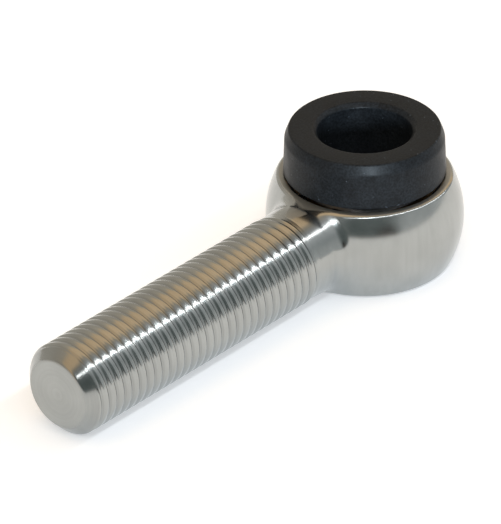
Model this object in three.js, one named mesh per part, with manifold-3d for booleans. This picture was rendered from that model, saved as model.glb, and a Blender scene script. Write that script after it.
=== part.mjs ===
// Rod end bearing. A stainless eye with a threaded shank carries a spherical bearing: two bronze race
// halves held by a retaining ring, a ball between them, and a black flanged bush through the ball.
// Millimetres. The origin is the centre of the ball, the bore is along Z and the shank points along -X.
import * as THREE from 'three';
import { ParametricGeometry } from 'three/addons/geometries/ParametricGeometry.js';
import { mergeVertices } from 'three/addons/utils/BufferGeometryUtils.js';
import Module from 'manifold-3d';

// Shank, a 7/16-20 right-hand thread with broad flat crests and roots. The shares are of one turn.
const INCH = 25.4;
const THREAD_R = (7 / 16) * INCH / 2;
const PITCH = INCH / 20;
const CREST_START = 0.17;
const CREST_SHARE = 0.34;
const FLANK_SHARE = 0.2;
const ROOT_SHARE = 1 - CREST_SHARE - 2 * FLANK_SHARE;
const GROOVE_HALF_ANGLE = Math.PI / 4;
const GROOVE_DEPTH = FLANK_SHARE * PITCH / Math.tan(GROOVE_HALF_ANGLE);
const SHANK_END_X = -53.2;
const THREAD_END_X = -14.4;
const END_FLAT_R = 4.15;
const NECK_R = 5.4;
const RUN_OUT = 0.2;

// Eye, a ball-shaped head cut flat on both sides.
const EYE_R = 11.6;
const EYE_HALF_WIDTH = 5.45;
const NECK_FILLET_R = 2.5;
const SEAT_BORE_R = 9.3;
const LIP_BORE_R = 8.35;
const LIP_TOP_Z = -4.9;
const GROOVE_R = 9.8;
const GROOVE_LOW_Z = 4.33;
const GROOVE_TOP_Z = 4.83;
const EDGE_BREAK = 0.2;

// Spherical bearing.
const SEAT_R = 8.75;
const RACE_R = SEAT_BORE_R - 0.05;
const RACE_LOW_Z = LIP_TOP_Z + 0.05;
const RACE_TOP_Z = GROOVE_LOW_Z - 0.03;
const RACE_SPLIT = 0.04;
const BALL_R = 8.65;
const BALL_HALF_WIDTH = 5.3;
const BALL_BORE_R = 6.45;
const RING_OUTER_R = 9.7;
const RING_INNER_R = 8.75;
const RING_LOW_Z = GROOVE_LOW_Z + 0.05;
const RING_THICKNESS = 0.4;
const RING_GAP_ANGLE = Math.PI / 7;
const LUG_R = 0.62;
const LUG_HOLE_R = 0.3;
const LUG_CENTRE_R = 8.75;

// Flanged bush. Its collar stands on the ball and clears the eye, so that the ball can tilt.
const BOLT_R = THREAD_R;
const SPIGOT_R = 6.35;
const SPIGOT_END_Z = -5.2;
const SHOULDER_R = 6.8;
const SHOULDER_Z = BALL_HALF_WIDTH + 0.05;
const COLLAR_BASE_Z = EYE_HALF_WIDTH + 0.42;
const COLLAR_TOP_Z = 11.4;
const COLLAR_BASE_R = 9.525;
const COLLAR_WALL_TOP_R = 9.35;
const COLLAR_CHAMFER_Z = 10.2;
const COLLAR_TOP_R = 8.88;
const BORE_CHAMFER = 0.5;

// Facets. Round faces that turn in each other share a count that 12 divides.
const ROUND = 48;
const THREAD_ROUND = 24;
const FILLET_STEPS = 4;
const MERGE_DISTANCE = 1e-4;

const wasm = await Module();
wasm.setup();

function signedVolume(positions, triangles) {
  const [a, b, c] = [new THREE.Vector3(), new THREE.Vector3(), new THREE.Vector3()];
  let volume = 0;
  for (let i = 0; i < triangles.length; i += 3) {
    a.fromArray(positions, 3 * triangles[i]);
    b.fromArray(positions, 3 * triangles[i + 1]);
    c.fromArray(positions, 3 * triangles[i + 2]);
    volume += a.dot(b.cross(c)) / 6;
  }
  return volume;
}

function toSolid(geometry) {
  geometry.deleteAttribute('normal');
  geometry.deleteAttribute('uv');
  const merged = mergeVertices(geometry, MERGE_DISTANCE);
  const positions = merged.attributes.position.array;
  const triangles = [];
  for (let i = 0; i < merged.index.count; i += 3) {
    const [a, b, c] = merged.index.array.slice(i, i + 3);
    if (a !== b && b !== c && c !== a) triangles.push(a, b, c);
  }
  if (signedVolume(positions, triangles) < 0) triangles.reverse();
  return new wasm.Manifold(new wasm.Mesh({
    numProp: 3,
    vertProperties: Float32Array.from(positions),
    triVerts: Uint32Array.from(triangles),
  }));
}

function toGeometry(solid) {
  const mesh = solid.getMesh();
  const geometry = new THREE.BufferGeometry();
  geometry.setAttribute('position', new THREE.BufferAttribute(mesh.vertProperties, 3));
  geometry.setIndex(new THREE.BufferAttribute(mesh.triVerts, 1));
  geometry.computeVertexNormals();
  return geometry;
}

function arc(centre, radius, from, to, steps) {
  const points = [];
  for (let i = 0; i <= steps; i += 1) {
    const angle = THREE.MathUtils.lerp(from, to, i / steps);
    points.push([centre[0] + radius * Math.cos(angle), centre[1] + radius * Math.sin(angle)]);
  }
  return points;
}

// A profile point is [radius, distance along the axis].
function latheGeometry(profile, segments) {
  return new THREE.LatheGeometry(profile.map(([r, t]) => new THREE.Vector2(r, t)), segments);
}

function turnedAboutZ(profile, segments = ROUND) {
  return toSolid(latheGeometry(profile, segments).rotateX(Math.PI / 2));
}

function turnedAboutX(profile, segments = ROUND) {
  return toSolid(latheGeometry(profile, segments).rotateZ(-Math.PI / 2));
}

function closed(profile) {
  return [...profile, profile[0]];
}

// Radius of the thread at a phase of one turn: a flat crest, a flank, a flat root and a flank.
function threadRadius(phase) {
  const fromCrestStart = THREE.MathUtils.euclideanModulo(phase - CREST_START, 1);
  const fromCrest = Math.abs(fromCrestStart - CREST_SHARE / 2);
  const nearest = Math.min(fromCrest, 1 - fromCrest);
  const down = THREE.MathUtils.clamp((nearest - CREST_SHARE / 2) / FLANK_SHARE, 0, 1);
  return THREAD_R - GROOVE_DEPTH * down;
}

// A helical ridge longer than the shank: its rows of points follow the helix, and its two ends
// close on the axis.
function threadBlank() {
  const crestEnd = CREST_START + CREST_SHARE;
  const rootStart = crestEnd + FLANK_SHARE;
  const phases = [CREST_START, crestEnd, rootStart, rootStart + ROOT_SHARE];
  const lowX = SHANK_END_X - PITCH;
  const highX = THREAD_END_X + PITCH;
  const startX = lowX - 2 * PITCH;
  const turns = Math.ceil((highX - startX) / PITCH) + 2;
  const rows = turns * phases.length;
  const place = (u, v, target) => {
    const row = Math.round(v * rows);
    const phase = phases[row % phases.length];
    const freeX = startX + PITCH * (Math.floor(row / phases.length) + phase + u);
    const x = THREE.MathUtils.clamp(freeX, lowX, highX);
    const isEnd = row === 0 || row === rows;
    const turnShare = THREE.MathUtils.euclideanModulo((x - startX) / PITCH - u, 1);
    const radius = isEnd ? 0 : threadRadius(x === freeX ? phase : turnShare);
    const angle = 2 * Math.PI * u;
    target.set(row === 0 ? lowX : x, radius * Math.cos(angle), radius * Math.sin(angle));
  };
  return toSolid(new ParametricGeometry(place, THREAD_ROUND, rows));
}

function shank() {
  const outerR = THREAD_R + 0.3;
  const chamfer = outerR - END_FLAT_R;
  const envelope = turnedAboutX([
    [0, SHANK_END_X],
    [END_FLAT_R, SHANK_END_X],
    [outerR, SHANK_END_X + chamfer],
    [outerR, THREAD_END_X - RUN_OUT],
    [NECK_R - GROOVE_DEPTH, THREAD_END_X + GROOVE_DEPTH],
    [0, THREAD_END_X + GROOVE_DEPTH],
  ]);
  return threadBlank().intersect(envelope);
}

// Plain neck with a fillet that is tangent to the neck and to the ball-shaped head.
function neck() {
  const filletR = NECK_R + NECK_FILLET_R;
  const filletX = -Math.sqrt((EYE_R + NECK_FILLET_R) ** 2 - filletR ** 2);
  const tangent = Math.atan2(-filletX, -filletR);
  const fillet = arc([filletR, filletX], NECK_FILLET_R, Math.PI, tangent, FILLET_STEPS);
  return turnedAboutX([
    [0, THREAD_END_X],
    [NECK_R, THREAD_END_X],
    ...fillet,
    [0, fillet.at(-1)[1]],
  ]);
}

function eyeBall() {
  return turnedAboutZ(arc([0, 0], EYE_R, -Math.PI / 2, Math.PI / 2, ROUND / 2));
}

function eyeBore() {
  const beyond = EYE_HALF_WIDTH + 1;
  const top = EYE_HALF_WIDTH;
  return turnedAboutZ([
    [0, -beyond],
    [LIP_BORE_R + EDGE_BREAK, -beyond],
    [LIP_BORE_R + EDGE_BREAK, -top],
    [LIP_BORE_R, -top + EDGE_BREAK],
    [LIP_BORE_R, LIP_TOP_Z],
    [SEAT_BORE_R, LIP_TOP_Z],
    [SEAT_BORE_R, GROOVE_LOW_Z],
    [GROOVE_R, GROOVE_LOW_Z],
    [GROOVE_R, GROOVE_TOP_Z],
    [SEAT_BORE_R, GROOVE_TOP_Z],
    [SEAT_BORE_R, top - EDGE_BREAK],
    [SEAT_BORE_R + EDGE_BREAK, top],
    [SEAT_BORE_R + EDGE_BREAK, beyond],
    [0, beyond],
  ]);
}

function rodEndBody() {
  const slab = toSolid(new THREE.BoxGeometry(4 * EYE_R, 4 * EYE_R, 2 * EYE_HALF_WIDTH));
  const eye = eyeBall().add(neck()).intersect(slab);
  return eye.add(shank()).subtract(eyeBore());
}

// One half of the race, from its split at the middle to its end face.
function raceHalf(splitZ, endZ) {
  const from = Math.asin(splitZ / SEAT_R);
  const to = Math.asin(endZ / SEAT_R);
  return turnedAboutZ(closed([
    [RACE_R, endZ],
    [RACE_R, splitZ],
    ...arc([0, 0], SEAT_R, from, to, 5),
  ]));
}

function ball() {
  const end = Math.asin(BALL_HALF_WIDTH / BALL_R);
  const bevel = EDGE_BREAK / 2;
  return turnedAboutZ(closed([
    ...arc([0, 0], BALL_R, -end, end, 10),
    [BALL_BORE_R + bevel, BALL_HALF_WIDTH],
    [BALL_BORE_R, BALL_HALF_WIDTH - bevel],
    [BALL_BORE_R, -BALL_HALF_WIDTH + bevel],
    [BALL_BORE_R + bevel, -BALL_HALF_WIDTH],
  ]));
}

function collarBush() {
  const bevel = EDGE_BREAK;
  return turnedAboutZ(closed([
    [BOLT_R, SPIGOT_END_Z + bevel],
    [BOLT_R + bevel, SPIGOT_END_Z],
    [SPIGOT_R - bevel, SPIGOT_END_Z],
    [SPIGOT_R, SPIGOT_END_Z + bevel],
    [SPIGOT_R, SHOULDER_Z],
    [SHOULDER_R, SHOULDER_Z],
    [SHOULDER_R, COLLAR_BASE_Z],
    [COLLAR_BASE_R - bevel, COLLAR_BASE_Z],
    [COLLAR_BASE_R, COLLAR_BASE_Z + bevel],
    [COLLAR_WALL_TOP_R, COLLAR_CHAMFER_Z],
    [COLLAR_TOP_R, COLLAR_TOP_Z],
    [BOLT_R + BORE_CHAMFER, COLLAR_TOP_Z],
    [BOLT_R, COLLAR_TOP_Z - BORE_CHAMFER],
  ]));
}

// Internal retaining ring: a flat open ring with a pliers lug and hole at each end.
function retainingRing() {
  const start = Math.PI + RING_GAP_ANGLE / 2;
  const end = start + 2 * Math.PI - RING_GAP_ANGLE;
  const outline = new THREE.Shape();
  outline.absarc(0, 0, RING_OUTER_R, start, end, false);
  outline.absarc(0, 0, RING_INNER_R, end, start, true);
  const plate = (shape) => new THREE.ExtrudeGeometry(shape, {
    depth: RING_THICKNESS, bevelEnabled: false, curveSegments: ROUND / 2,
  });
  let ring = toSolid(plate(outline).translate(0, 0, RING_LOW_Z));
  for (const angle of [start + LUG_R / LUG_CENTRE_R, end - LUG_R / LUG_CENTRE_R]) {
    const x = LUG_CENTRE_R * Math.cos(angle);
    const y = LUG_CENTRE_R * Math.sin(angle);
    const disc = (radius, height) => toSolid(new THREE.CylinderGeometry(radius, radius, height, 12)
      .rotateX(Math.PI / 2)
      .translate(x, y, RING_LOW_Z + RING_THICKNESS / 2));
    ring = ring.add(disc(LUG_R, RING_THICKNESS)).subtract(disc(LUG_HOLE_R, 2 * RING_THICKNESS));
  }
  return ring;
}

const STEEL = { color: 0xc8c6c0, roughness: 0.18, metalness: 1 };
const RING_STEEL = { color: 0x6e6c68, roughness: 0.4, metalness: 1 };
const BRONZE = { color: 0xb08a52, roughness: 0.35, metalness: 1 };
const BALL_STEEL = { color: 0x94949a, roughness: 0.3, metalness: 1 };
const BLACK = { color: 0x1b1b1c, roughness: 0.6, metalness: 0 };

function piece(name, solid, finish) {
  const mesh = new THREE.Mesh(toGeometry(solid), new THREE.MeshStandardMaterial(finish));
  mesh.name = name;
  return mesh;
}

const rodEnd = new THREE.Group();
rodEnd.add(
  piece('rod_end_body', rodEndBody(), STEEL),
  piece('race_upper', raceHalf(RACE_SPLIT, RACE_TOP_Z), BRONZE),
  piece('race_lower', raceHalf(-RACE_SPLIT, RACE_LOW_Z), BRONZE),
  piece('retaining_ring', retainingRing(), RING_STEEL),
  piece('ball', ball(), BALL_STEEL),
  piece('collar_bush', collarBush(), BLACK),
);

export default rodEnd;
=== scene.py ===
"""Rod end bearing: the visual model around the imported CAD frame."""
import math

import bmesh
import bpy
import numpy as np
from mathutils import Matrix, Vector


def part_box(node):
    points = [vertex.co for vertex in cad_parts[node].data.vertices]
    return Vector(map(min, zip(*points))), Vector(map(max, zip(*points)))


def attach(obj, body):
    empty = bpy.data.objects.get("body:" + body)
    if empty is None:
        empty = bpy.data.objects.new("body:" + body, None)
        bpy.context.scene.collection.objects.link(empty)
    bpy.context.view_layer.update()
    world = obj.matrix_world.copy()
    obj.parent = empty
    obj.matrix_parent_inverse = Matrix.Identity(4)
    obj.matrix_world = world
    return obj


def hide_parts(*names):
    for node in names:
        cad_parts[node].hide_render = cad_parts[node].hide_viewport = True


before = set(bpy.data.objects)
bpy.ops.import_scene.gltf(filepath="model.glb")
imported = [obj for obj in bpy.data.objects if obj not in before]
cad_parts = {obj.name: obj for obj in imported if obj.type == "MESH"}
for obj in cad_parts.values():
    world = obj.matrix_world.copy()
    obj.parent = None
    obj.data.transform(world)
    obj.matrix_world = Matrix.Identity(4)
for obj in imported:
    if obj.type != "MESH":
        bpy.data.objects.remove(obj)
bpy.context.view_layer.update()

MM = 0.001

# ---------------------------------------------------------------- sizes, in millimetres
BODY_LOW, BODY_HIGH = (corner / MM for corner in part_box("rod_end_body"))
BUSH_LOW, BUSH_HIGH = (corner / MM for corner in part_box("collar_bush"))
BALL_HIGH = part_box("ball")[1] / MM
RACE_LOW_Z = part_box("race_lower")[0].z / MM
RACE_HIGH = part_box("race_upper")[1] / MM

PITCH = 1.27
THREAD_R = BODY_HIGH.z
# These four are shares of one turn.
CREST_START = 0.17
CREST_SHARE = 0.34
FLANK_SHARE = 0.2
CREST_ROUND = 0.07
# The flanks stand at 45 degrees, so a groove is as deep as a flank is long.
GROOVE_DEPTH = FLANK_SHARE * PITCH
ROOT_ROUND = 0.06
SHANK_END_X = BODY_LOW.x
THREAD_END_X = -14.4
RUN_OUT = 0.7
END_FLAT_R = 4.15
END_ROUND = 0.25
CHAMFER_BLEND = 0.12
MARK_R = 0.8
MARK_DEPTH = 0.07
NECK_R = 5.4
NECK_FILLET_R = 2.5
NECK_FLARE = 0.15
FLARE_RISE = 2.8
FLARE_FALL = 2.2
EYE_R = BODY_HIGH.x
EYE_HALF_WIDTH = 5.45
RIM_ROUND = 0.3
# Where the eye's flats stop being cut, counted from the x at which the neck's fillet is centred.
FLAT_FADE_START = 0.4
FLAT_FADE = 0.8
SEAT_BORE_R = 9.3
LIP_BORE_R = 8.35
LIP_TOP_Z = -4.9
GROOVE_R = 9.8
NECK_INNER_X = -GROOVE_R - 0.2
GROOVE_LOW_Z = 4.33
GROOVE_TOP_Z = 4.83
EDGE_BREAK = 0.2

SEAT_R = 8.75
RACE_R = RACE_HIGH.x
RACE_SPLIT = 0.04
BALL_R = BALL_HIGH.x
BALL_HALF_WIDTH = BALL_HIGH.z
BALL_BORE_R = 6.45

BOLT_R = 5.556
SPIGOT_R = 6.35
SHOULDER_R = 6.8
SHOULDER_GAP = 0.05
COLLAR_BASE_Z = 5.87
COLLAR_BASE_R = BUSH_HIGH.x
COLLAR_WALL_TOP_R = 9.35
COLLAR_CHAMFER_Z = 10.2
COLLAR_TOP_R = 8.88
COLLAR_TOP_Z = BUSH_HIGH.z
COLLAR_ROUND = 0.2
BORE_CHAMFER = 0.5
BUSH_ROUND = 0.15
BALL_EDGE_ROUND = 0.1
RING_EDGE_BREAK = 0.04
SAME_PLACE = 1e-3


# ---------------------------------------------------------------- mesh helpers
def new_mesh(name, vertices, faces):
    """A closed mesh from points in millimetres, with doubles joined and faces outwards."""
    mesh = bpy.data.meshes.new(name)
    mesh.from_pydata(np.asarray(vertices) * MM, [], faces)
    bm = bmesh.new()
    bm.from_mesh(mesh)
    bmesh.ops.remove_doubles(bm, verts=bm.verts, dist=2e-8)
    bmesh.ops.recalc_face_normals(bm, faces=bm.faces)
    bm.to_mesh(mesh)
    bm.free()
    return mesh


def new_object(name, mesh):
    piece = bpy.data.objects.new(name, mesh)
    bpy.context.scene.collection.objects.link(piece)
    return piece


def smooth_shade(mesh, crease=35):
    mesh.polygons.foreach_set("use_smooth", [True] * len(mesh.polygons))
    mesh.set_sharp_from_angle(angle=math.radians(crease))


def new_piece(name, mesh, body, node, material):
    """A finished piece that rides on a CAD body and stands for a CAD node."""
    piece = new_object(name, mesh)
    smooth_shade(mesh)
    mesh.materials.append(material)
    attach(piece, body)
    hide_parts(node)
    return piece


def rounded(corners, radius, steps=4):
    """A closed profile with each corner turned into a short curve."""
    corners = [Vector(c) for c in corners]
    neighbours = zip(corners[-1:] + corners[:-1], corners, corners[1:] + corners[:1])
    points = []
    for before, corner, after in neighbours:
        back, ahead = before - corner, after - corner
        reach = min(radius, 0.45 * back.length, 0.45 * ahead.length)
        start, end = corner + back.normalized() * reach, corner + ahead.normalized() * reach
        for t in np.linspace(0, 1, steps + 1):
            points.append(start * (1 - t) ** 2 + corner * 2 * t * (1 - t) + end * t ** 2)
    return [tuple(p) for p in points]


def rounded_path(corners, radius, steps=4):
    """The same for an open line, whose two end corners only give its direction and are left out."""
    return rounded(corners, radius, steps)[steps + 1:-steps - 1]


def lathe(name, profile, segments=192):
    """A mesh of a closed profile of (radius, z) turned about Z."""
    count = len(profile)
    angles = np.arange(segments) * 2 * np.pi / segments
    radius, height = np.array(profile).T
    points = np.stack([
        np.outer(np.cos(angles), radius),
        np.outer(np.sin(angles), radius),
        np.tile(height, (segments, 1)),
    ], axis=-1).reshape(-1, 3)
    faces = []
    for i in range(segments):
        this, following = i * count, (i + 1) % segments * count
        for j in range(count):
            k = (j + 1) % count
            faces.append((this + j, following + j, following + k, this + k))
    return new_mesh(name, points, faces)


def arc(radius, start, end, steps):
    """Points of (radius, z) on a circle round the ball's centre, by angle above the middle."""
    angles = np.linspace(start, end, steps + 1)
    return [(radius * math.cos(a), radius * math.sin(a)) for a in angles]


# ---------------------------------------------------------------- rod end body
def smooth_ramp(value, width):
    """0 below, value above, and a parabola between -width and width."""
    blend = (value + width) ** 2 / (4 * width)
    return np.where(value < -width, 0, np.where(value > width, value, blend))


def smooth_step(value):
    t = np.clip(value, 0, 1)
    return t * t * (3 - 2 * t)


def thread_radius(phase):
    """Radius of the thread at a share of one turn: a flat crest, a flank, a root and a flank."""
    from_crest = np.abs((phase - CREST_START - CREST_SHARE / 2 + 0.5) % 1 - 0.5)
    slope = GROOVE_DEPTH / FLANK_SHARE
    depth = slope * smooth_ramp(from_crest - CREST_SHARE / 2, CREST_ROUND)
    return THREAD_R - GROOVE_DEPTH + smooth_ramp(GROOVE_DEPTH - depth, ROOT_ROUND)


def shank_radius(x, turn):
    """Radius of the threaded shank at x, where turn is the share of a turn round the axis."""
    threaded = thread_radius((x - SHANK_END_X) / PITCH - turn)
    chamfer = END_FLAT_R + x - SHANK_END_X
    threaded = chamfer - smooth_ramp(chamfer - threaded, CHAMFER_BLEND)
    run_out = smooth_step((x - THREAD_END_X) / RUN_OUT + 1)
    return threaded * (1 - run_out) + NECK_R * run_out


def end_face():
    """Points of (x, radius) from the axis to the chamfer, with a small centre mark."""
    points = []
    for r in np.linspace(0, MARK_R, 6):
        points.append((SHANK_END_X + MARK_DEPTH * (1 - smooth_step(r / MARK_R)), r))
    for r in np.linspace(MARK_R, END_FLAT_R - END_ROUND, 12)[1:]:
        points.append((SHANK_END_X, r))
    for t in np.linspace(0, 1, 6)[1:]:
        points.append((SHANK_END_X + END_ROUND * t * t, END_FLAT_R + END_ROUND * (2 * t - 1)))
    return points


def rod_mesh(columns=144, rows_per_turn=18):
    """The end face, the threaded shank and the neck, which ends inside the eye's wall."""
    turn = np.arange(columns + 1) / columns
    rings = []

    def ring(x, radius):
        x, radius = x + 0 * turn, radius + 0 * turn
        angle = 2 * np.pi * turn
        rings.append(np.stack([x, radius * np.cos(angle), radius * np.sin(angle)], axis=-1))

    for x, radius in end_face():
        ring(x, radius)
    first_x, last_x = SHANK_END_X + END_ROUND, THREAD_END_X
    turns = math.ceil((last_x - first_x) / PITCH) + 2
    for row in range(turns * rows_per_turn):
        x = first_x + PITCH * (row / rows_per_turn + turn - 1)
        x = np.clip(x, first_x, last_x)
        ring(x, shank_radius(x, turn))
    for x in np.linspace(last_x, NECK_INNER_X, 31)[1:]:
        ring(x, NECK_R)
    ring(NECK_INNER_X, 0)
    width = columns + 1
    faces = [(j * width + i, j * width + i + 1, (j + 1) * width + i + 1, (j + 1) * width + i)
             for j in range(len(rings) - 1) for i in range(columns)]
    return new_mesh("rod", np.concatenate(rings), faces)


def eye_mesh():
    """The ball-shaped head, flat on both sides, with its stepped bore."""
    flat = EYE_HALF_WIDTH
    rim_r = math.sqrt(EYE_R ** 2 - flat ** 2)
    rim = math.asin(flat / EYE_R)
    # The fine band beside the rim: millimetres on the flats and radians on the ball.
    near = 0.03
    profile = [(r, -flat) for r in np.linspace(LIP_BORE_R + EDGE_BREAK, rim_r - near, 16)]
    profile += arc(EYE_R, -rim, -rim + near, 4)
    profile += arc(EYE_R, -rim + near, rim - near, 90)[1:-1]
    profile += arc(EYE_R, rim - near, rim, 4)
    profile += [(r, flat) for r in np.linspace(rim_r - near, SEAT_BORE_R + EDGE_BREAK, 10)]
    profile += [
        (SEAT_BORE_R, flat - EDGE_BREAK),
        (SEAT_BORE_R, GROOVE_TOP_Z),
        (GROOVE_R, GROOVE_TOP_Z),
        (GROOVE_R, GROOVE_LOW_Z),
        (SEAT_BORE_R, GROOVE_LOW_Z),
        (SEAT_BORE_R, LIP_TOP_Z),
        (LIP_BORE_R, LIP_TOP_Z),
        (LIP_BORE_R, -flat + EDGE_BREAK),
    ]
    return lathe("eye", profile, 360)


def head_distance(points):
    """Distance to the finished outside of the eye and neck: ball, neck, fillet, flats and rim."""
    x, height = points[:, 0], np.abs(points[:, 2])
    radius = np.hypot(points[:, 1], points[:, 2])
    ball = np.linalg.norm(points, axis=1) - EYE_R
    outside = np.where(x < 0, np.minimum(ball, radius - NECK_R), ball)
    fillet_r = NECK_R + NECK_FILLET_R
    fillet_x = -math.sqrt((EYE_R + NECK_FILLET_R) ** 2 - fillet_r ** 2)
    along, across = x - fillet_x, radius - fillet_r
    in_fillet = (along > 0) & (along * fillet_r < across * fillet_x)
    outside = np.where(in_fillet, NECK_FILLET_R - np.hypot(along, across), outside)
    fade = smooth_step((fillet_x + FLAT_FADE_START - x) / FLAT_FADE)
    flat = height - EYE_HALF_WIDTH - 2 * RIM_ROUND * fade
    flare = NECK_FLARE * smooth_step((x - THREAD_END_X) / FLARE_RISE)
    flare = flare * (1 - smooth_step((x - fillet_x) / FLARE_FALL))
    outside = np.where(x < 0, outside - flare, outside)
    a, b = outside + RIM_ROUND, flat + RIM_ROUND
    inner = np.minimum(np.maximum(a, b), 0)
    return inner + np.hypot(np.maximum(a, 0), np.maximum(b, 0)) - RIM_ROUND


def slope_of(distance, points, step=1e-4):
    """Unit direction in which a distance grows."""
    slopes = []
    for axis in np.eye(3) * step:
        slopes.append(distance(points + axis) - distance(points - axis))
    slopes = np.stack(slopes, axis=-1)
    return slopes / np.maximum(np.linalg.norm(slopes, axis=1, keepdims=True), 1e-12)


def union(name, first, second):
    """One closed mesh from two that overlap."""
    target = new_object(name, first)
    tool = new_object(name + "_tool", second)
    join = target.modifiers.new("join", "BOOLEAN")
    join.operation = "UNION"
    join.object = tool
    join.solver = "MANIFOLD"
    graph = bpy.context.evaluated_depsgraph_get()
    joined = bpy.data.meshes.new_from_object(target.evaluated_get(graph))
    joined.materials.clear()
    bpy.data.objects.remove(target)
    bpy.data.objects.remove(tool)
    return joined


def on_head_outside(points):
    """True for points on the outside of the eye and neck, and not in the bore or on the thread."""
    from_bore = np.hypot(points[:, 0], points[:, 1])
    on_flat = np.abs(points[:, 2]) > EYE_HALF_WIDTH - SAME_PLACE
    hole = np.where(points[:, 2] > 0, SEAT_BORE_R, LIP_BORE_R) + EDGE_BREAK
    past_groove = from_bore > GROOVE_R + 0.05
    past_thread = points[:, 0] > THREAD_END_X + 0.6
    return (past_groove | (on_flat & (from_bore > hole - SAME_PLACE))) & past_thread


def finish_head(mesh, passes=8):
    """Moves the outside of the eye and neck onto its exact shape and gives it exact normals."""
    points = np.empty(len(mesh.vertices) * 3)
    mesh.vertices.foreach_get("co", points)
    points = points.reshape(-1, 3) / MM
    outer = on_head_outside(points)
    moved = points[outer]
    for _ in range(passes):
        moved -= head_distance(moved)[:, None] * slope_of(head_distance, moved)
    points[outer] = moved
    mesh.vertices.foreach_set("co", (points * MM).ravel())
    mesh.update()
    smooth_shade(mesh)
    set_normals(mesh, outer, slope_of(head_distance, points))


def set_normals(mesh, chosen, directions):
    """Gives the faces whose corners are all chosen points the directions as their normals."""
    corner_count = len(mesh.loops)
    vertex = np.empty(corner_count, np.int32)
    mesh.loops.foreach_get("vertex_index", vertex)
    normals = np.empty(corner_count * 3)
    mesh.corner_normals.foreach_get("vector", normals)
    normals = normals.reshape(-1, 3)
    starts = np.empty(len(mesh.polygons), np.int32)
    mesh.polygons.foreach_get("loop_start", starts)
    whole_face = np.minimum.reduceat(chosen[vertex].astype(int), starts) == 1
    sizes = np.diff(np.append(starts, corner_count))
    replaced = np.repeat(whole_face, sizes)
    normals[replaced] = directions[vertex[replaced]]
    mesh.normals_split_custom_set(normals)


def rod_end_body(material):
    mesh = union("rod_end_body_mesh", eye_mesh(), rod_mesh())
    piece = new_piece("polished_rod_body", mesh, "rod", "rod_end_body", material)
    finish_head(mesh)
    return piece


# ---------------------------------------------------------------- bearing and bush
def race_half(name, node, split_z, end_z, material):
    corners = [(RACE_R, end_z), (RACE_R, split_z), (SEAT_R, split_z)]
    seat = arc(SEAT_R, math.asin(split_z / SEAT_R), math.asin(end_z / SEAT_R), 24)
    mesh = lathe(name, corners[:2] + seat)
    return new_piece(name, mesh, "rod", node, material)


def ball_piece(material):
    end = math.asin(BALL_HALF_WIDTH / BALL_R)
    bore = rounded([
        (BALL_BORE_R, BALL_HALF_WIDTH),
        (BALL_BORE_R, -BALL_HALF_WIDTH),
    ], BALL_EDGE_ROUND)
    mesh = lathe("lapped_ball", arc(BALL_R, -end, end, 64) + bore)
    return new_piece("lapped_ball", mesh, "ball", "ball", material)


def finish_ring(material):
    """The retaining ring is the CAD node itself, with its edges broken."""
    ring = bpy.data.objects["retaining_ring"]
    ring.data.materials.clear()
    ring.data.materials.append(material)
    edges = ring.modifiers.new("broken_edges", "BEVEL")
    edges.width = RING_EDGE_BREAK * MM
    edges.segments = 2


def collar_piece(material):
    """The bush: the collar outside, and the bore and spigot inside."""
    low_z = BUSH_LOW.z
    shoulder_z = BALL_HALF_WIDTH + SHOULDER_GAP
    outside = rounded_path([
        (COLLAR_BASE_R - 1, COLLAR_BASE_Z),
        (COLLAR_BASE_R, COLLAR_BASE_Z),
        (COLLAR_WALL_TOP_R, COLLAR_CHAMFER_Z),
        (COLLAR_TOP_R, COLLAR_TOP_Z),
        (COLLAR_TOP_R - 1, COLLAR_TOP_Z),
    ], COLLAR_ROUND, 8)
    inside = rounded_path([
        (BOLT_R + 1, COLLAR_TOP_Z),
        (BOLT_R + BORE_CHAMFER, COLLAR_TOP_Z),
        (BOLT_R, COLLAR_TOP_Z - BORE_CHAMFER),
        (BOLT_R, low_z),
        (SPIGOT_R, low_z),
        (SPIGOT_R, shoulder_z),
        (SHOULDER_R, shoulder_z),
        (SHOULDER_R, COLLAR_BASE_Z),
    ], BUSH_ROUND)
    mesh = lathe("black_collar", outside + inside + [(SHOULDER_R, COLLAR_BASE_Z)], 256)
    return new_piece("black_collar", mesh, "bush", "collar_bush", material)


# ---------------------------------------------------------------- materials
STEEL_TINT = (0.382, 0.398, 0.394)
POLISHED_ROUGHNESS = (0.15, 0.21)
END_ROUGHNESS = 0.42
FLAT_ROUGHNESS = 0.5
# Share of the steel's colour left in the thread roots: painted shade in the grooves, with oil held
# there.
ROOT_SHADE_AND_OIL = 0.85
POLYMER_TINT = (0.0088, 0.0105, 0.0125)
POLYMER_ROUGHNESS = (0.36, 0.46)
POLYMER_SPECULAR = 0.13
# How many times lighter the flecks at the collar's lower edge are: a painted highlight.
EDGE_FLECK_HIGHLIGHT = 6.0
# Most of a noise's values lie between these.
NOISE_SPAN = (0.3, 0.7)


def new_material(name):
    """A material with its node tree and its Principled node."""
    material = bpy.data.materials.new(name)
    material.use_nodes = True
    return material, material.node_tree, material.node_tree.nodes["Principled BSDF"]


def add_node(tree, kind, **inputs):
    """A shader node with its inputs set to numbers or linked to sockets, by name."""
    node = tree.nodes.new("ShaderNode" + kind)
    for name, value in inputs.items():
        socket = node.inputs[name.replace("_", " ")]
        if isinstance(value, bpy.types.NodeSocket):
            tree.links.new(value, socket)
        else:
            socket.default_value = value
    return node


def math_node(tree, operation, first, second=None):
    node = tree.nodes.new("ShaderNodeMath")
    node.operation = operation
    for socket, value in zip(node.inputs, (first, second)):
        if isinstance(value, bpy.types.NodeSocket):
            tree.links.new(value, socket)
        elif value is not None:
            socket.default_value = value
    return node.outputs[0]


def radius_of(tree, first, second):
    """Distance from an axis, from the two coordinates across it."""
    squares = [math_node(tree, "MULTIPLY", side, side) for side in (first, second)]
    return math_node(tree, "SQRT", math_node(tree, "ADD", *squares))


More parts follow.
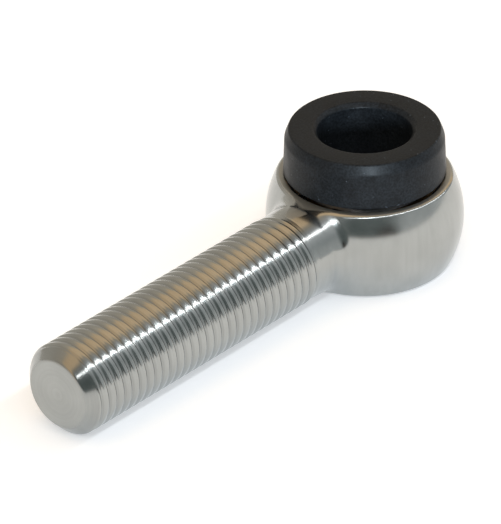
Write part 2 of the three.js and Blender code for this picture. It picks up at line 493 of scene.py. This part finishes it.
def ramp_between(tree, value, low, high, at_low=0.0, at_high=1.0):
    """A smooth change from one number to another while the value goes from low to high."""
    node = add_node(tree, "MapRange", Value=value)
    node.interpolation_type = "SMOOTHSTEP"
    node.inputs["From Min"].default_value = low
    node.inputs["From Max"].default_value = high
    node.inputs["To Min"].default_value = at_low
    node.inputs["To Max"].default_value = at_high
    return node.outputs["Result"]


def mix_numbers(tree, share, first, second):
    """The first number where the share is 0 and the second where it is 1."""
    change = math_node(tree, "SUBTRACT", second, first)
    return math_node(tree, "ADD", first, math_node(tree, "MULTIPLY", share, change))


def stretched_noise(tree, place, scale, squeeze, detail=3.0):
    """Noise whose grain is drawn out along the axes with a small squeeze."""
    spread = add_node(tree, "VectorMath")
    spread.operation = "MULTIPLY"
    tree.links.new(place, spread.inputs[0])
    spread.inputs[1].default_value = squeeze
    noise = add_node(tree, "TexNoise", Vector=spread.outputs["Vector"], Scale=scale, Detail=detail)
    return noise.outputs["Fac"]


def tint_by(tree, shader, tint, shade):
    """Sets the base colour to a tint times a number."""
    scaled = add_node(tree, "VectorMath")
    scaled.operation = "SCALE"
    scaled.inputs[0].default_value = tint
    tree.links.new(shade, scaled.inputs["Scale"])
    tree.links.new(scaled.outputs["Vector"], shader.inputs["Base Color"])


def steel_grain(tree, place, from_axis, on_shank, on_end):
    """Fine lines: up and down the head, round the shank, and in rings on its end face."""
    drawn = stretched_noise(tree, place, 1500.0, (1, 1, 0.06))
    turned = stretched_noise(tree, place, 7000.0, (1, 0.02, 0.02))
    rings = add_node(tree, "TexNoise", Scale=2600.0, Detail=1.0)
    reach = add_node(tree, "CombineXYZ", X=from_axis)
    tree.links.new(reach.outputs["Vector"], rings.inputs["Vector"])
    grain = mix_numbers(tree, on_shank, drawn, turned)
    return mix_numbers(tree, on_end, grain, rings.outputs["Fac"])


def steel_material():
    """Stainless steel: polished head, turned shank with thread roots darkened by painted shade and
    oil, satin flats and end.
    """
    material, tree, shader = new_material("polished_stainless")
    place = add_node(tree, "TexCoord").outputs["Object"]
    axes = add_node(tree, "SeparateXYZ", Vector=place).outputs
    x = axes["X"]
    from_axis = radius_of(tree, axes["Y"], axes["Z"])
    on_shank = ramp_between(tree, x, (THREAD_END_X - 0.1) * MM, (THREAD_END_X + 0.1) * MM, 1, 0)
    on_end = ramp_between(tree, x, (SHANK_END_X + 0.02) * MM, (SHANK_END_X + 0.12) * MM, 1, 0)
    # The thread roots are painted darker: painted shade in the grooves, with oil held there.
    root = ramp_between(tree, from_axis, (THREAD_R - GROOVE_DEPTH) * MM,
                        (THREAD_R - 0.5 * GROOVE_DEPTH) * MM, ROOT_SHADE_AND_OIL, 1)
    groove_shade_and_oil = mix_numbers(tree, math_node(tree, "MULTIPLY", on_shank,
                            math_node(tree, "SUBTRACT", 1.0, on_end)), 1.0, root)

    cloud = stretched_noise(tree, place, 260.0, (1, 1, 1), 4.0)
    grain = steel_grain(tree, place, from_axis, on_shank, on_end)

    shade = ramp_between(tree, grain, *NOISE_SPAN, 0.97, 1.03)
    shade = math_node(tree, "MULTIPLY", shade, ramp_between(tree, cloud, *NOISE_SPAN, 0.96, 1.04))
    shade = math_node(tree, "MULTIPLY", shade, groove_shade_and_oil)
    tint_by(tree, shader, STEEL_TINT, shade)

    rough = ramp_between(tree, cloud, *NOISE_SPAN, *POLISHED_ROUGHNESS)
    rough = mix_numbers(tree, on_end, rough, END_ROUGHNESS)
    side = math_node(tree, "ABSOLUTE", axes["Z"])
    on_flat = ramp_between(tree, side, (EYE_HALF_WIDTH - 0.06) * MM, (EYE_HALF_WIDTH - 0.01) * MM)
    on_flat = math_node(tree, "MULTIPLY", on_flat, math_node(tree, "SUBTRACT", 1.0, on_shank))
    rough = mix_numbers(tree, on_flat, rough, FLAT_ROUGHNESS)
    tree.links.new(rough, shader.inputs["Roughness"])
    bump = add_node(tree, "Bump", Height=grain, Strength=0.3, Distance=0.0000025)
    tree.links.new(bump.outputs["Normal"], shader.inputs["Normal"])
    shader.inputs["Metallic"].default_value = 1
    return material


def plain_metal(name, low, high, roughness):
    """A metal whose colour wanders between two."""
    material, tree, shader = new_material(name)
    place = add_node(tree, "TexCoord").outputs["Object"]
    cloud = add_node(tree, "TexNoise", Vector=place, Scale=400.0, Detail=5.0)
    tint = add_node(tree, "ValToRGB", Fac=cloud.outputs["Fac"])
    tint.color_ramp.elements[0].color = (*low, 1)
    tint.color_ramp.elements[1].color = (*high, 1)
    tree.links.new(tint.outputs["Color"], shader.inputs["Base Color"])
    shader.inputs["Metallic"].default_value = 1
    shader.inputs["Roughness"].default_value = roughness
    return material


def polymer_material():
    """Matte black moulded polymer with a fine grain, and painted highlight flecks that gather at the
    lower edge.
    """
    material, tree, shader = new_material("black_polymer_grain")
    place = add_node(tree, "TexCoord").outputs["Object"]
    axes = add_node(tree, "SeparateXYZ", Vector=place).outputs
    height = axes["Z"]
    grain = stretched_noise(tree, place, 4200.0, (1, 1, 1))
    cloud = stretched_noise(tree, place, 500.0, (1, 1, 1))
    fleck = stretched_noise(tree, place, 2600.0, (1, 1, 1), 1.0)
    low_edge = ramp_between(tree, height, COLLAR_BASE_Z * MM, (COLLAR_BASE_Z + 0.5) * MM, 0.1, 0)
    outside = ramp_between(tree, radius_of(tree, axes["X"], axes["Y"]), SHOULDER_R * MM,
                           (COLLAR_BASE_R - 0.5) * MM)
    low_edge = math_node(tree, "MULTIPLY", low_edge, outside)
    # Flecks gathered at the lower edge get a lighter base colour: a painted highlight.
    fleck_highlight = ramp_between(tree, math_node(tree, "ADD", fleck, low_edge), 0.74, 0.80)
    shade = ramp_between(tree, grain, *NOISE_SPAN, 0.6, 1.4)
    shade = math_node(tree, "MULTIPLY", shade, ramp_between(tree, cloud, 0.35, 0.65, 0.85, 1.15))
    shade = mix_numbers(tree, fleck_highlight, shade, EDGE_FLECK_HIGHLIGHT)
    tint_by(tree, shader, POLYMER_TINT, shade)
    rough = ramp_between(tree, cloud, *NOISE_SPAN, *POLYMER_ROUGHNESS)
    tree.links.new(rough, shader.inputs["Roughness"])
    bump = add_node(tree, "Bump", Height=grain, Strength=0.35, Distance=0.00003)
    tree.links.new(bump.outputs["Normal"], shader.inputs["Normal"])
    shader.inputs["Specular IOR Level"].default_value = POLYMER_SPECULAR
    return material


# ---------------------------------------------------------------- stage, camera and light
FLOOR_HALF_SIZE = 3.0
FLOOR_GLOW = 0.42

# The camera aims at a point in millimetres, on the level of the shank's axis, from VIEW_DISTANCE
# metres away. Its angles are in degrees, with azimuth counted from +X.
VIEW_AIM = (-17.24, 2.66, 0)
VIEW_AZIMUTH, VIEW_ELEVATION, VIEW_ROLL = -138.48, 30.66, -0.63
VIEW_DISTANCE = 0.845
LENS = 502.3

# Each light: its size in metres and how bright it looks. The strip runs along the shank, and
# its angle is counted round the shank from +Y.
STRIP_SIZE, STRIP_RADIANCE = (2.2, 0.03), 10
STRIP_ANGLE, STRIP_DISTANCE = 122, 0.6
FRONT_SIZE, FRONT_RADIANCE = (0.26, 0.045), 13
FRONT_AZIMUTH, FRONT_ELEVATION, FRONT_DISTANCE = 224, 46, 0.7
FRONT_COLOUR = (0.85, 0.95, 1)
GLINT_SIZE, GLINT_RADIANCE = (0.26, 0.1), 46
GLINT_AZIMUTH, GLINT_ELEVATION, GLINT_DISTANCE = 230, 13, 0.6
GLINT_COLOUR = (0.74, 0.88, 1)

# The room's colour by angle over the shank, from the far side over the top to the camera's side.
ROOM_ARCH = [
    (0, (0.68, 0.63, 0.55)),
    (12, (0.66, 0.61, 0.53)),
    (22, (0.63, 0.58, 0.50)),
    (38, (0.58, 0.52, 0.44)),
    (56, (0.66, 0.58, 0.46)),
    (66, (1.0, 0.72, 0.44)),
    (90, (1.06, 0.77, 0.48)),
    (100, (0.48, 0.43, 0.34)),
    (112, (0.44, 0.44, 0.44)),
    (134, (0.61, 0.635, 0.64)),
    (150, (0.45, 0.48, 0.48)),
    (166, (0.60, 0.62, 0.61)),
    (180, (0.64, 0.66, 0.65)),
]
# Azimuth, elevation, radius of the full tint and radius where it ends, in degrees, and tint.
ROOM_SPOTS = [
    (222, 8, 14, 50, (0.15, 0.175, 0.17)),
    (246, 0, 5, 16, (0.05, 0.045, 0.04)),
]


def floor_piece():
    """The pale floor. It glows a little, so that it comes out nearly white."""
    size = FLOOR_HALF_SIZE
    mesh = bpy.data.meshes.new("floor")
    low = BODY_LOW.z * MM
    corners = [(-size, -size, low), (size, -size, low), (size, size, low), (-size, size, low)]
    mesh.from_pydata(corners, [], [(0, 1, 2, 3)])
    floor = new_object("floor", mesh)
    material, tree, shader = new_material("pale_floor")
    shader.inputs["Base Color"].default_value = (0.85, 0.87, 0.9, 1)
    shader.inputs["Emission Color"].default_value = (0.95, 0.97, 1, 1)
    shader.inputs["Emission Strength"].default_value = FLOOR_GLOW
    shader.inputs["Roughness"].default_value = 0.8
    shader.inputs["Specular IOR Level"].default_value = 0.1
    mesh.materials.append(material)


def direction(azimuth, elevation):
    """Unit vector towards a place seen from the object, with azimuth counted from +X."""
    a, e = math.radians(azimuth), math.radians(elevation)
    return Vector((math.cos(a) * math.cos(e), math.sin(a) * math.cos(e), math.sin(e)))


def camera():
    """The view of the object: from the shank's side, about 31 degrees above it."""
    aim = Vector(VIEW_AIM) * MM
    away = direction(VIEW_AZIMUTH, VIEW_ELEVATION)
    data = bpy.data.cameras.new("camera")
    data.lens = LENS
    data.clip_end = 10
    holder = bpy.data.objects.new("camera", data)
    turn = (-away).to_track_quat("-Z", "Y").to_matrix().to_4x4()
    roll = Matrix.Rotation(math.radians(VIEW_ROLL), 4, "Z")
    holder.matrix_world = Matrix.Translation(aim + VIEW_DISTANCE * away) @ turn @ roll
    bpy.context.scene.collection.objects.link(holder)
    bpy.context.scene.camera = holder


def area_light(name, place, aim, size, radiance, colour=(1, 1, 1), long_side=(1, 0, 0)):
    """A rectangular soft box: how bright it looks is set, and its power follows."""
    data = bpy.data.lights.new(name, "AREA")
    data.shape = "RECTANGLE"
    data.size, data.size_y = size
    data.energy = radiance * math.pi * size[0] * size[1]
    data.color = colour
    holder = bpy.data.objects.new(name, data)
    holder.location = place
    holder.rotation_mode = "QUATERNION"
    towards = Vector(aim) - Vector(place)
    along = Vector(long_side) - towards * towards.dot(long_side) / towards.length_squared
    across = towards.cross(along)
    axes = (along.normalized(), -across.normalized(), -towards.normalized())
    holder.rotation_quaternion = Matrix(axes).transposed().to_quaternion()
    bpy.context.scene.collection.objects.link(holder)
    return holder


def room_arch(tree, look):
    """The room's colour, which changes only with the angle round the shank's axis."""
    parts = add_node(tree, "SeparateXYZ", Vector=look)
    angle = add_node(tree, "Math")
    angle.operation = "ARCTAN2"
    tree.links.new(parts.outputs["Z"], angle.inputs[0])
    tree.links.new(parts.outputs["Y"], angle.inputs[1])
    turn = add_node(tree, "MapRange", Value=angle.outputs[0])
    turn.inputs["From Max"].default_value = math.pi
    ramp = add_node(tree, "ValToRGB", Fac=turn.outputs["Result"])
    stops = ramp.color_ramp.elements
    for degrees, _ in ROOM_ARCH[1:-1]:
        stops.new(degrees / 180)
    for stop, (degrees, tint) in zip(stops, ROOM_ARCH):
        stop.position = degrees / 180
        stop.color = (*tint, 1)
    return ramp.outputs["Color"]


def room_spot(tree, look, colour, azimuth, elevation, inner, outer, tint):
    """The colour with a round spot of a tint laid over it in one direction."""
    towards = add_node(tree, "VectorMath")
    towards.operation = "DOT_PRODUCT"
    tree.links.new(look, towards.inputs[0])
    towards.inputs[1].default_value = direction(azimuth, elevation)
    edges = (math.cos(math.radians(angle)) for angle in (outer, inner))
    near = ramp_between(tree, towards.outputs["Value"], *edges)
    mix = tree.nodes.new("ShaderNodeMix")
    mix.data_type = "RGBA"
    tree.links.new(near, mix.inputs["Factor"])
    tree.links.new(colour, mix.inputs[6])
    mix.inputs[7].default_value = (*tint, 1)
    return mix.outputs[2]


def room():
    """The surroundings: the colours of the arch, with darker spots on the camera's side."""
    world = bpy.data.worlds.new("room")
    world.use_nodes = True
    tree = world.node_tree
    look = add_node(tree, "TexCoord").outputs["Generated"]
    colour = room_arch(tree, look)
    for spot in ROOM_SPOTS:
        colour = room_spot(tree, look, colour, *spot)
    tree.links.new(colour, tree.nodes["Background"].inputs["Color"])
    bpy.context.scene.world = world


def lights(collar):
    """Three soft boxes and the room. The third lights only the collar."""
    middle = Vector((-20, 0, 0)) * MM
    strip_angle = math.radians(STRIP_ANGLE)
    across, up = STRIP_DISTANCE * math.cos(strip_angle), STRIP_DISTANCE * math.sin(strip_angle)
    area_light("strip", Vector((0, across, up)), (0, 0, 0), STRIP_SIZE, STRIP_RADIANCE)
    front = middle + FRONT_DISTANCE * direction(FRONT_AZIMUTH, FRONT_ELEVATION)
    area_light("front", front, middle, FRONT_SIZE, FRONT_RADIANCE, FRONT_COLOUR)
    collar_top = Vector((0, 0, COLLAR_TOP_Z)) * MM
    glint = collar_top + GLINT_DISTANCE * direction(GLINT_AZIMUTH, GLINT_ELEVATION)
    long_side = direction(GLINT_AZIMUTH + 90, 0)
    light = area_light(
        "glint", glint, collar_top, GLINT_SIZE, GLINT_RADIANCE, GLINT_COLOUR, long_side
    )
    lit = bpy.data.collections.new("lit_by_glint")
    lit.objects.link(collar)
    light.light_linking.receiver_collection = lit
    room()
    bpy.context.scene.view_settings.view_transform = "Standard"


camera()
steel = steel_material()
bronze = plain_metal("machined_bronze", (0.5, 0.32, 0.14), (0.6, 0.42, 0.2), 0.35)
ball_steel = plain_metal("oiled_steel", (0.10, 0.10, 0.10), (0.14, 0.14, 0.145), 0.35)
rod_end_body(steel)
race_half("bronze_race_upper", "race_upper", RACE_SPLIT, RACE_HIGH.z, bronze)
race_half("bronze_race_lower", "race_lower", -RACE_SPLIT, RACE_LOW_Z, bronze)
ball_piece(ball_steel)
collar = collar_piece(polymer_material())
finish_ring(plain_metal("blued_spring_steel", (0.05, 0.05, 0.06), (0.1, 0.1, 0.11), 0.35))
floor_piece()
lights(collar)
